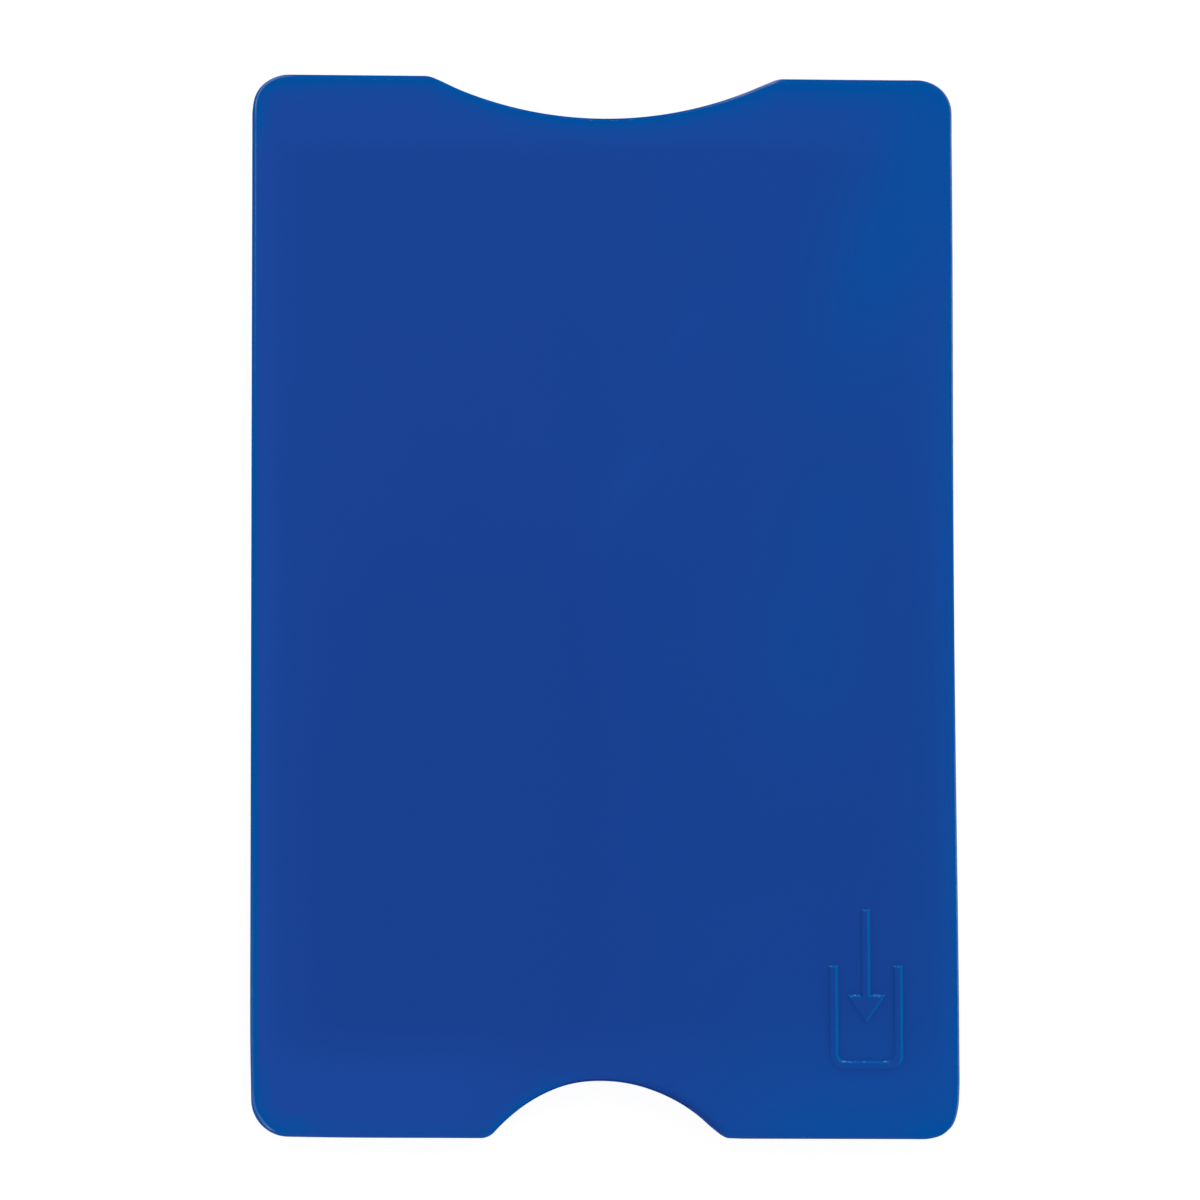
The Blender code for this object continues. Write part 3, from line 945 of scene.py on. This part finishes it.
def railLoop(inset, values):
    # the right rail with its end stop, anticlockwise from where the thumb bowl meets the slot's end:
    # bowl, shoulder, bottom edge, corner, side, corner, then back along the slot round its inner corner
    slotX = outline["width"] / 2 - values["railWidth"] + inset
    slotY = values["endStopLength"] - outline["length"] / 2 - inset
    end = notchedEnd(thumbNotch, inset, inset)[::-1] * (1, -1)
    end = end[len(end) // 2 :]
    start = np.argmax(end[:, 1] < slotY)
    before, after = end[start - 1], end[start]
    cut = before + (after - before) * (slotY - before[1]) / (after[1] - before[1])
    halfLength = outline["length"] / 2 - inset
    side = longSide(outline["width"] / 2 - inset, -halfLength, halfLength, outline["cornerRadius"] - inset)
    corner = outline["cornerRadius"] - inset
    cornerX = outline["width"] / 2 - outline["cornerRadius"]
    turn = math.acos((slotX - cornerX) / corner)
    top = arcPoints((cornerX, halfLength - corner), corner, math.pi / 4, turn, steps["corner"])
    bend = values["slotCornerRadius"]
    inner = arcPoints((slotX - bend, slotY + bend), bend, 0, -math.pi / 2, steps["corner"])
    return np.concatenate([[cut], end[start:-1], side[:-1], top, inner])


def railBody(values):
    # a rail as rings from its foot in the floor to the broken edge at the seam
    top = trayHigh.z - values["pegHeight"]
    seam, foot = outline["seamChamfer"], values["footDepth"]
    rings = [
        lift(railLoop(foot, values), values["floorThickness"] - foot),
        lift(railLoop(0, values), values["floorThickness"]),
        lift(railLoop(0, values), top - seam),
        lift(railLoop(seam, values), top),
    ]
    return closedLoft(rings)


def pegBodies(values):
    # round pegs: three along each rail and one on each end stop, with a broken edge on top
    rail = outline["width"] / 2 - values["railWidth"] / 2
    places = [(side * rail, step * values["sidePegSpacing"]) for side in (-1, 1) for step in (-1, 0, 1)]
    stop = (values["endStopLength"] - outline["length"]) / 2
    places += [(side * values["endPegHalfSpacing"], stop) for side in (-1, 1)]
    radius, edge = values["pegRadius"], values["pegBreak"]
    top = trayHigh.z
    bottom = top - values["pegHeight"] - values["footDepth"]
    heights = ((radius, bottom), (radius, top - edge), (radius - edge, top))
    bodies = []
    for place in places:
        circles = [arcPoints(place, size, 0, 2 * math.pi, values["pegSides"])[:-1] for size, _ in heights]
        bodies.append(closedLoft([lift(circle, z) for circle, (_, z) in zip(circles, heights)]))
    return bodies


def ribBodies(values):
    # low ribs with round backs: a rounded bar's outline drawn in along a quarter circle
    quarter, count = math.pi / 2, steps["ribEnd"]
    angle = np.linspace(0, quarter, steps["ribBack"] + 1)[:-1]
    insets = np.append(0, values["ribHeight"] * (1 - np.cos(angle)))
    rises = np.append(-values["footDepth"], values["ribHeight"] * np.sin(angle))
    y = outline["length"] / 2 - values["ribFromMouth"]
    reach = (values["ribLength"] - values["ribWidth"]) / 2
    bodies = []
    for x in (-values["ribHalfSpacing"], values["ribHalfSpacing"]):
        rings = []
        for inset, rise in zip(insets, rises):
            half = values["ribWidth"] / 2 - inset
            right = arcPoints((x + reach, y), half, -quarter, quarter, count)
            left = arcPoints((x - reach, y), half, quarter, 3 * quarter, count)
            rings.append(lift(np.concatenate([right, left]), values["floorThickness"] + rise))
        bodies.append(closedLoft(rings))
    return bodies


rightRail = railBody(backTray)
trayParts = [floorBody(backTray), rightRail, mirrored(rightRail)]
trayParts += pegBodies(backTray) + ribBodies(backTray)
tray = makePiece("tray_shell", joined(trayParts), plastic)
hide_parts("back_tray")
print("back tray:", len(tray.data.polygons), "faces")


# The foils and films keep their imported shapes

for name, material in (
    ("front_foil_shield", foil),
    ("back_foil_shield", foil),
    ("front_adhesive_film", film),
    ("back_adhesive_film", film),
):
    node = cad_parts[name]
    node.data.materials.clear()
    node.data.materials.append(material)
print("foils and films finished")


# White table

table = dict(
    radius=1.6,
    drop=0.00001,
    rings=24,
    sides=96,
    colour=0.80,
    seenShade=0.12,  # how much of the shadow shows to the camera
    seenLevel=0.92,
    mirroredShade=0.70,  # how much of it shows in reflections
    mirroredLevel=0.30,
)


def makeTable(values):
    radius = np.linspace(0, 1, values["rings"] + 1)[1:] ** 2 * values["radius"]
    angle = np.linspace(0, 2 * math.pi, values["sides"], endpoint=False)
    x = radius[:, None] * np.cos(angle)
    y = radius[:, None] * np.sin(angle)
    points = np.stack([x.ravel(), y.ravel(), np.full(x.size, -values["drop"])], axis=1)
    rings = loftFaces(values["rings"], values["sides"])[:, ::-1]
    middle = np.arange(values["sides"])[None]
    mesh = bpy.data.meshes.new("table")
    mesh.from_pydata(points.tolist(), [], rings.tolist() + middle.tolist())
    material, board = newMaterial("white_table")
    grey = (values["colour"],) * 3 + (1,)
    path = board.node("ShaderNodeLightPath").socket.node.outputs
    glossy = Wire(board, path["Is Glossy Ray"])
    seen = Wire(board, path["Is Camera Ray"]).most(glossy).most(Wire(board, path["Is Transmission Ray"]))
    tones = [(values[name],) * 3 + (1,) for name in ("seenShade", "mirroredShade")]
    shade = board.node("ShaderNodeBsdfDiffuse", None, {"Color": board.mix(glossy, *tones)})
    strength = glossy.ramp(0, 1, values["seenLevel"], values["mirroredLevel"])
    level = board.node("ShaderNodeEmission", None, {"Color": (1, 1, 1, 1), "Strength": strength})
    shown = board.node("ShaderNodeAddShader", None, {0: shade, 1: level})
    plain = board.node("ShaderNodeBsdfDiffuse", None, {"Color": grey})
    mixed = board.node("ShaderNodeMixShader", None, {0: seen, 1: plain, 2: shown})
    board.node("ShaderNodeOutputMaterial", None, {0: mixed})
    mesh.materials.append(material)
    floor = bpy.data.objects.new("table", mesh)
    bpy.context.scene.collection.objects.link(floor)
    return floor


makeTable(table)
print("table laid")


# Camera at the photograph's place: turned about the middle of the front face, far off with a long lens

camera = dict(
    sensorMillimetres=36,
    distance=0.800,
    framePixels=1200,
    pixelsPerMetre=11761.0,  # at the front face
    facePixel=(604.89, 601.49),  # where the middle of the front face shows, from the upper left
    turnDegrees=(-8.356, 3.497, -0.343),  # of the case as the camera sees it, about X, then Y, then Z
)


def makeCamera(values):
    data = bpy.data.cameras.new("camera")
    data.sensor_width = values["sensorMillimetres"]
    data.lens = data.sensor_width * values["pixelsPerMetre"] * values["distance"] / values["framePixels"]
    turnX, turnY, turnZ = [math.radians(angle) for angle in values["turnDegrees"]]
    turn = Matrix.Rotation(turnZ, 4, "Z") @ Matrix.Rotation(turnY, 4, "Y") @ Matrix.Rotation(turnX, 4, "X")
    middle = values["framePixels"] / 2
    right, down = [(pixel - middle) / values["pixelsPerMetre"] for pixel in values["facePixel"]]
    place = turn.inverted() @ Vector((-right, down, values["distance"]))
    face = Vector((0, 0, coverHigh.z - frontCover["signHeight"]))
    item = bpy.data.objects.new("camera", data)
    item.matrix_world = Matrix.Translation(place + face) @ turn.inverted()
    bpy.context.scene.collection.objects.link(item)
    bpy.context.scene.camera = item


makeCamera(camera)
print("camera set")


# Studio: white walls all round, a greyer ceiling that the face mirrors, and soft lamps

studio = dict(
    wallLevel=1.0,
    ceilingLevel=0.66,
    wallTop=10,  # degrees above the table where the wall starts to darken
    ceilingEdge=50,
)
lamps = dict(
    key=dict(direction=(0.50, 0.62, 0.75), distance=1.80, width=1.15, height=1.15, power=7.5),
    top=dict(direction=(0.05, 0.80, 0.62), distance=0.90, width=0.30, height=0.30, power=0.6),
    left=dict(direction=(-0.87, -0.18, 0.30), distance=0.90, width=1.40, height=0.25, power=1.5),
    front=dict(direction=(0.10, -0.92, 0.30), distance=0.90, width=1.40, height=0.25, power=1.3),
)


def makeStudio(values):
    world = bpy.data.worlds.new("studio")
    world.use_nodes = True
    bpy.context.scene.world = world
    board = Board(world.node_tree)
    direction = board.node("ShaderNodeTexCoord", None, None, "Generated")
    low, high = [math.sin(math.radians(values[name])) for name in ("wallTop", "ceilingEdge")]
    height = board.parts(direction)[2]
    level = height.ramp(low, high, values["wallLevel"], values["ceilingLevel"])
    sky = board.node("ShaderNodeBackground", None, {"Color": (1, 1, 1, 1), "Strength": level})
    board.node("ShaderNodeOutputWorld", None, {0: sky})


def makeLamp(name, values):
    data = bpy.data.lights.new(name, "AREA")
    data.shape = "RECTANGLE"
    data.size = values["width"]
    data.size_y = values["height"]
    data.energy = values["power"]
    direction = Vector(values["direction"]).normalized()
    item = bpy.data.objects.new(name, data)
    turn = direction.to_track_quat("Z", "Y").to_matrix().to_4x4()
    item.matrix_world = Matrix.Translation(direction * values["distance"]) @ turn
    bpy.context.scene.collection.objects.link(item)


makeStudio(studio)
for name, values in lamps.items():
    makeLamp(name, values)
bpy.context.scene.view_settings.view_transform = "Standard"
print("studio lit")
